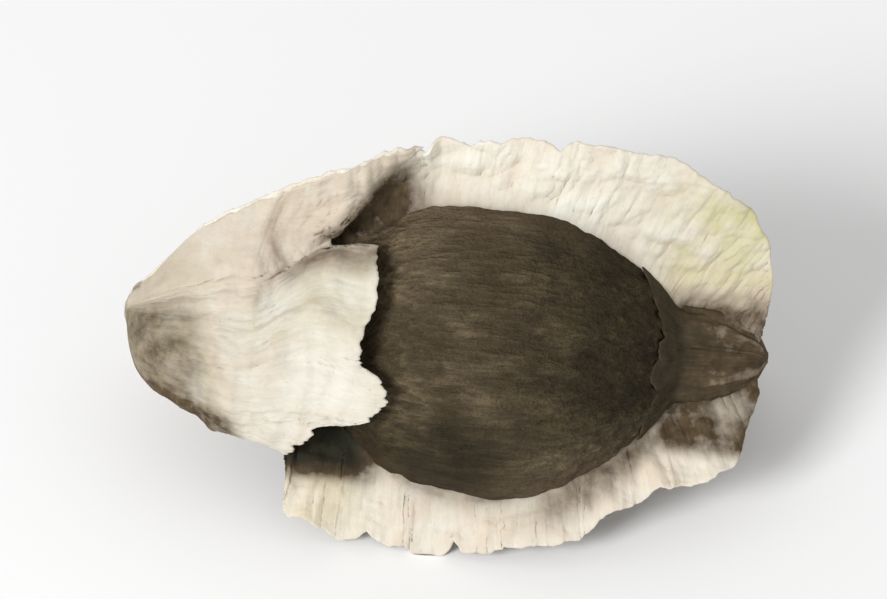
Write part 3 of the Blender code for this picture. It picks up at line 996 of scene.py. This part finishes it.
def make_cup(name, profile, finish):
    """Paper skin where the three wings run together over one end of the coat, with a torn rim on it."""
    seed = SEEDS[name]
    profile = np.array(profile)
    angle = np.radians(WING_ANGLES["rear"]) + np.linspace(0, 2 * math.pi, CUP_COLUMNS)
    tip = profile[0, 0]
    rim = cup_rim(profile, angle, seed)
    x = tip + (rim - tip) * np.linspace(0, 1, CUP_ROWS)[:, None] ** CUP_CROWDING
    from_rim = np.abs(rim - x)
    radius = cup_radius(profile, x, angle, from_rim)

    round_it = CUP_CREASE_ROUND * np.stack([np.cos(angle), np.sin(angle)])[:, None]
    place = np.stack(np.broadcast_arrays(*round_it, x / CUP_CREASE_LENGTH), axis=-1)
    crease = creased(place, seed + 5, 3)
    stand = CUP_CREASE * crease * smooth_step(0.0, CUP_SETTLES, from_rim) * (radius / CUP_CREASE_RADIUS)
    stain = CUP_STAINS[name] - CUP_CREASE_STAIN * crease
    # Near the rim the stain deepens past full into painted shadow.
    stain += (CUP_RIM_STAIN_AND_SHADE - stain) * smooth_step(*CUP_RIM_SHADE_FADES, from_rim)
    marks = {
        "along": angle * CUP_FIBRES_ROUND + 0 * x, "out": x * MARKS_TO_A_METRE, "stain": stain,
        "warmth": np.full_like(x, CUP_WARMTH), "green": np.zeros_like(x), "crease": crease,
    }
    half = loose_half_thickness(from_rim) * CUP_THINNESS
    obj = closed_sheet(name, around_axis(x, radius + stand, angle), half, marks)
    return dress(obj, "wings", finish)


def coat_relief(points, seed):
    """How far the coat's lumps, wrinkles, fibres and grain stand out, less its pits."""
    total = 0.0
    kinds = [
        (COAT_LUMPS, rough, 0, 2), (COAT_WRINKLES, creased, 3, 3), (COAT_FIBRES, rough, 5, 2),
        (COAT_GRAIN, rough, 7, 3),
    ]
    for (height, cells), noise_of, shift, octaves in kinds:
        total = total + height * noise_of(points / np.array(cells), seed + shift, octaves)
    depth, cells = COAT_PITS
    return total - depth * (noise(points / np.array(cells), seed + 12) - COAT_PITS_FROM).clip(0.0)


def make_coat(finish):
    polar = np.linspace(0, math.pi, COAT_RINGS + 2)[1:-1, None]
    angle = np.arange(COAT_SPOKES) * 2 * math.pi / COAT_SPOKES
    x, out = coat_profile(polar)
    points = around_axis(x, out * three_angled(angle), angle)
    stand = coat_relief(points, SEEDS["coat"])
    points = points + stand[..., None] * -wrapped_normals(points)
    # The dark mark is painted shade: darker to the right and on the low side, less so low at the right.
    where = {"x": points[..., 0], "height": points[..., 2] - AXIS_HEIGHT}
    right_side_shade = patch("coat right side painted shade", where) * (1 - patch("coat right foot", where))
    marks = {
        "ridge": np.broadcast_to(ridge_nearness(angle), stand.shape),
        "relief": stand / COAT_WRINKLES[0],
        "dark": np.maximum(right_side_shade, patch("coat low side painted shade", where)),
    }
    obj = capped_tube("coat_surface", points, marks)
    return dress(obj, "seed_coat", finish)


def add_node(tree, kind, inputs=None, **settings):
    """A new shader node. Each input is a value, or a socket to link to it."""
    made = tree.nodes.new(kind)
    for name, value in settings.items():
        setattr(made, name, value)
    for name, value in (inputs or {}).items():
        if isinstance(value, bpy.types.NodeSocket):
            tree.links.new(value, made.inputs[name])
        else:
            made.inputs[name].default_value = value
    return made


def marked(tree, name):
    """A vertex mark's value as a socket."""
    return add_node(tree, "ShaderNodeAttribute", attribute_name=name).outputs["Fac"]


def maths(tree, operation, first, second, clamp=False):
    made = add_node(tree, "ShaderNodeMath", {0: first, 1: second}, operation=operation, use_clamp=clamp)
    return made.outputs[0]


def mixed(tree, share, first, second, how="MIX"):
    inputs = {"Fac": share, "Color1": first, "Color2": second}
    return add_node(tree, "ShaderNodeMixRGB", inputs, blend_type=how).outputs[0]


def tinted(tree, colour, share, strength, tint, how="MIX"):
    """The colour with a tint over a share of it, at that strength."""
    return mixed(tree, maths(tree, "MULTIPLY", share, strength), colour, tint, how)


def stretched(tree, place, scale):
    return add_node(tree, "ShaderNodeMapping", {"Vector": place, "Scale": scale}).outputs[0]


def speckle(tree, place, scale, low, high, detail):
    """Noise over a place as a share from 0, where it is under low, to 1, where it is over high."""
    inputs = {"Vector": place, "Scale": scale, "Detail": detail, "Roughness": SPECKLE_ROUGHNESS}
    made = add_node(tree, "ShaderNodeTexNoise", inputs)
    inputs = {"Value": made.outputs["Fac"], "From Min": low, "From Max": high}
    return add_node(tree, "ShaderNodeMapRange", inputs).outputs[0]


def new_material(name, roughness):
    made = bpy.data.materials.new(name)
    made.use_nodes = True
    shader = made.node_tree.nodes["Principled BSDF"]
    shader.inputs["Roughness"].default_value = roughness
    return made, made.node_tree, shader


def finish_surface(tree, shader, colour, height, bump_settings):
    """Links a colour to the shader, and a height as its bump."""
    bump = add_node(tree, "ShaderNodeBump", {"Height": height} | bump_settings)
    tree.links.new(colour, shader.inputs["Base Color"])
    tree.links.new(bump.outputs[0], shader.inputs["Normal"])


def paper_colour(tree, place, fibres):
    """Cream paper, tan where it is old or creased, green where it is fresh, brown where it is stained, and
    near black where a stain past full carries painted shadow.
    """
    blotches, flecks, breaks, umber = (
        speckle(tree, place, *PAPER_SPECKLES[name]) for name in ("blotches", "flecks", "breaks", "umber")
    )
    blotched = maths(tree, "MULTIPLY", blotches, PAPER_BLOTCHES)
    valleys = maths(tree, "MULTIPLY", marked(tree, "crease"), PAPER_VALLEYS)
    warmth = maths(tree, "ADD", maths(tree, "ADD", marked(tree, "warmth"), blotched), valleys, True)
    colour = mixed(tree, warmth, PAPER_WHITE, PAPER_WARM)
    colour = tinted(tree, colour, marked(tree, "green"), blotches, PAPER_GREEN)

    stain = marked(tree, "stain")
    broken = maths(tree, "ADD", maths(tree, "MULTIPLY", breaks, STAIN_BREAKS), STAIN_LEAST)
    brown = mixed(tree, umber, PAPER_BROWN, PAPER_UMBER)
    brown = tinted(tree, brown, fibres, UMBER_FIBRES, PAPER_UMBER)
    # Past full, a stain goes on towards PAPER_SHADE: painted shadow under the flap, painted shade in the
    # fold, on the flap's low edge and at the cups' rims, and the darkest stain at the right ends.
    brown = mixed(tree, maths(tree, "SUBTRACT", stain, STAIN_FULL, True), brown, PAPER_SHADE)
    colour = mixed(tree, maths(tree, "MULTIPLY", stain, broken, True), colour, brown)
    colour = tinted(tree, colour, fibres, PALE_FIBRES, PAPER_FIBRE, "MULTIPLY")
    return tinted(tree, colour, flecks, PAPER_FLECKS, PAPER_BROWN)


def paper_material():
    """Dry seed-wing paper, with fine fibres that run out from the seed."""
    made, tree, shader = new_material("paper", PAPER_ROUGHNESS)
    place = add_node(tree, "ShaderNodeTexCoord").outputs["Object"]
    on_sheet = {"X": marked(tree, "along"), "Y": marked(tree, "out")}
    sheet = add_node(tree, "ShaderNodeCombineXYZ", on_sheet).outputs[0]
    fibres = speckle(tree, stretched(tree, sheet, PAPER_FIBRES), *PAPER_SPECKLES["fibres"])
    grit = maths(tree, "MULTIPLY", speckle(tree, place, *PAPER_SPECKLES["grit"]), PAPER_GRIT)
    height = maths(tree, "ADD", fibres, grit)
    finish_surface(tree, shader, paper_colour(tree, place, fibres), height, PAPER_BUMP)
    for name, value in PAPER_FINISH.items():
        shader.inputs[name].default_value = value
    return made


def coat_material():
    """The coat: dull dark brown, mottled, with lengthwise fibres and pale scuffs, and painted shade in its
    low ground and over its right and low side.
    """
    made, tree, shader = new_material("coat", COAT_ROUGHNESS)
    place = add_node(tree, "ShaderNodeTexCoord").outputs["Object"]
    fibres = speckle(tree, stretched(tree, place, COAT_FIBRE_LENGTHS), *COAT_SPECKLES["fibres"])
    streaks = speckle(tree, stretched(tree, place, COAT_STREAK_LENGTHS), *COAT_SPECKLES["streaks"])
    mottle, flecks, grain, grit = (
        speckle(tree, place, *COAT_SPECKLES[name]) for name in ("mottle", "flecks", "grain", "grit")
    )
    # Painted shade in the low ground of the coat's relief.
    low_ground_shade = add_node(
        tree, "ShaderNodeMapRange", {"Value": marked(tree, "relief")} | LOW_GROUND
    ).outputs[0]
    ridge = maths(tree, "POWER", marked(tree, "ridge"), RIDGE_SHARPNESS)
    tints = [
        (low_ground_shade, LOW_GROUND_SHADE, COAT_DARK), (fibres, FIBRE_SHADE, COAT_FIBRE),
        (grain, GRAIN_SHADE, COAT_DARK), (streaks, STREAK_SHADE, COAT_DARK),
        (ridge, RIDGE_TINT, COAT_RIDGE), (flecks, SCUFF_TINT, COAT_SCUFF),
    ]
    colour = mixed(tree, mottle, COAT_DARK, COAT_LIGHT)
    for share, strength, tint in tints:
        colour = tinted(tree, colour, share, strength, tint)
    # Painted shade over the coat's right and low side, from the dark mark.
    colour = tinted(tree, colour, marked(tree, "dark"), SIDE_PAINTED_SHADE, COAT_PAINTED_SHADE, "MULTIPLY")
    height = maths(tree, "ADD", fibres, maths(tree, "SUBTRACT", grit, streaks))
    finish_surface(tree, shader, colour, height, COAT_BUMP)
    shader.inputs["Specular IOR Level"].default_value = COAT_SPECULAR
    return made


def make_floor():
    half = FLOOR_SIZE / 2
    corners = [(-half, -half, 0), (half, -half, 0), (half, half, 0), (-half, half, 0)]
    mesh = bpy.data.meshes.new("floor")
    mesh.from_pydata(corners, [], [(0, 1, 2, 3)])
    floor = bpy.data.objects.new("floor", mesh)
    bpy.context.scene.collection.objects.link(floor)
    finish, _, shader = new_material("floor", FLOOR_ROUGHNESS)
    shader.inputs["Base Color"].default_value = FLOOR_COLOUR
    shader.inputs["Specular IOR Level"].default_value = FLOOR_SPECULAR
    mesh.materials.append(finish)


def make_light(name, direction, distance, size, strength):
    """A square soft light that shines on the seed from a direction."""
    data = bpy.data.lights.new(name, "AREA")
    data.size = size
    data.energy = strength * math.pi * distance**2
    light = bpy.data.objects.new(name, data)
    towards = Vector(direction).normalized()
    light.location = Vector(CAMERA_AIM) + towards * distance
    light.rotation_euler = towards.to_track_quat("Z", "Y").to_euler()
    bpy.context.scene.collection.objects.link(light)


def make_world():
    world = bpy.data.worlds.new("studio")
    world.use_nodes = True
    background = world.node_tree.nodes["Background"]
    background.inputs["Color"].default_value = WORLD_COLOUR
    background.inputs["Strength"].default_value = WORLD_STRENGTH
    bpy.context.scene.world = world


def make_camera():
    data = bpy.data.cameras.new("camera")
    data.lens = CAMERA_LENS
    data.sensor_width = SENSOR_WIDTH
    data.clip_start = CLIP_START
    data.clip_end = CLIP_END
    camera = bpy.data.objects.new("camera", data)
    azimuth, elevation = math.radians(CAMERA_AZIMUTH), math.radians(CAMERA_ELEVATION)
    level = math.cos(elevation)
    back = Vector((math.sin(azimuth) * level, -math.cos(azimuth) * level, math.sin(elevation)))
    camera.location = Vector(CAMERA_AIM) + back * CAMERA_DISTANCE
    camera.rotation_euler = back.to_track_quat("Z", "Y").to_euler()
    bpy.context.scene.collection.objects.link(camera)
    bpy.context.scene.camera = camera


bpy.context.scene.view_settings.view_transform = "Standard"
make_camera()
make_world()
for name, settings in LIGHTS.items():
    make_light(name, **settings)
make_floor()
paper = paper_material()
make_coat(coat_material())
make_wing("top", top_marks, paper)
make_wing("front", front_marks, paper)
make_wing("rear", rear_marks, paper)
make_flap(paper)
make_cup("wing_cup_left", LEFT_CUP, paper)
make_cup("wing_cup_right", RIGHT_CUP, paper)
